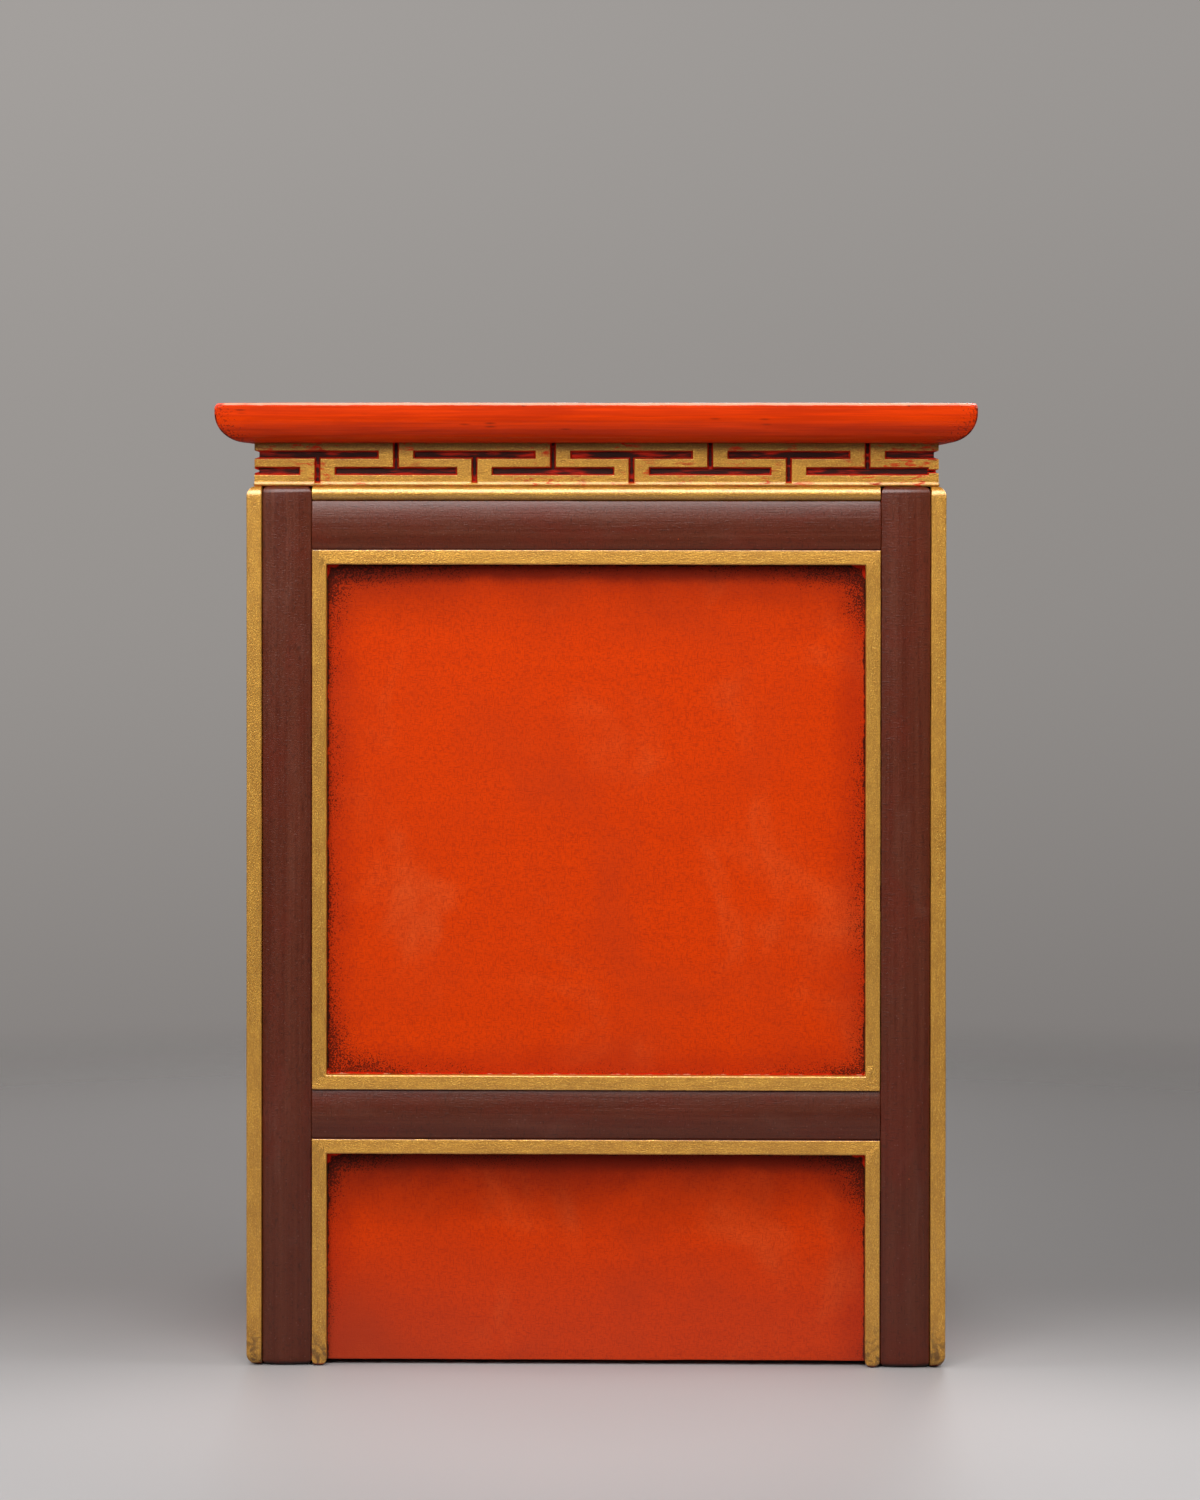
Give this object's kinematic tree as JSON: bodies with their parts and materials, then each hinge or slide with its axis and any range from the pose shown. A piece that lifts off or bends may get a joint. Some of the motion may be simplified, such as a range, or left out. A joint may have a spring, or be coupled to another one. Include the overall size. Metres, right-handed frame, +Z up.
{
  "type": "cabinet",
  "caption": "Small painted post-and-rail cabinet with a moulded top, a carved fret frieze, flat panels in gold mouldings, a hinged door with a ring pull and an inner shelf.",
  "frame": {"origin": "on the floor, under the middle of the case", "axes": "+Z up, the door faces -Y, the pictured end faces +X"},
  "size_m": [0.475, 0.475, 0.6],
  "materials": {
    "red_top": "brushed orange-red paint, satin",
    "red_panel": "brushed orange-red paint over primed cloth, darkened at the edges",
    "gold_fret": "gold paint over red, with dark red grooves",
    "gold_paint": "gold paint, satin",
    "brown_paint": "brown paint, satin, brushed",
    "inner_wood": "stained softwood",
    "brass": "aged brass",
    "steel": "plain steel"
  },
  "bodies": {
    "case": {"apron_back": "red_panel", "apron_front": "red_panel", "apron_left": "red_panel", "apron_moulding_back": "gold_paint", "apron_moulding_front": "gold_paint", "apron_moulding_left": "gold_paint", "apron_moulding_right": "gold_paint", "apron_right": "red_panel", "bead_back": "gold_paint", "bead_front": "gold_paint", "bead_left": "gold_paint", "bead_right": "gold_paint", "catch_magnet": "steel", "corner_strip_back_left": "gold_paint", "corner_strip_back_right": "gold_paint", "corner_strip_front_left": "gold_paint", "corner_strip_front_right": "gold_paint", "door_stop": "inner_wood", "floor_board": "inner_wood", "floor_cleats": "inner_wood", "frame_moulding_back": "gold_paint", "frame_moulding_left": "gold_paint", "frame_moulding_right": "gold_paint", "frieze_back": "gold_fret", "frieze_front": "gold_fret", "frieze_left": "gold_fret", "frieze_right": "gold_fret", "hinge_leaves_case": "brass", "hinge_pins": "brass", "hinge_screws_case": "brass", "lower_rail_back": "brown_paint", "lower_rail_front": "brown_paint", "lower_rail_left": "brown_paint", "lower_rail_right": "brown_paint", "panel_back": "red_panel", "panel_left": "red_panel", "panel_right": "red_panel", "post_back_left": "brown_paint", "post_back_right": "brown_paint", "post_front_left": "brown_paint", "post_front_right": "brown_paint", "shelf": "inner_wood", "shelf_cleats": "inner_wood", "top_battens": "inner_wood", "top_board": "red_top", "upper_rail_back": "brown_paint", "upper_rail_front": "brown_paint", "upper_rail_left": "brown_paint", "upper_rail_right": "brown_paint"},
    "door": {"door_panel": "red_panel", "door_moulding": "gold_paint", "door_battens": "inner_wood", "hinge_leaves_door": "brass", "hinge_screws_door": "brass", "pull_plate": "brass", "pull_eye": "brass", "pull_nut": "brass", "catch_strike": "steel"},
    "ring": {"pull_ring": "brass"}
  },
  "joints": [
    {"name": "door_hinge", "type": "hinge", "parent": "case", "child": "door", "pos_m": [-0.1759, -0.2188, 0.34025], "axis": [0, 0, -1], "range_deg": [0, 180]},
    {"name": "ring_swing", "type": "hinge", "parent": "door", "child": "ring", "pos_m": [0.1418, -0.215, 0.34025], "axis": [-1, 0, 0], "range_deg": [-8, 180]}
  ]
}
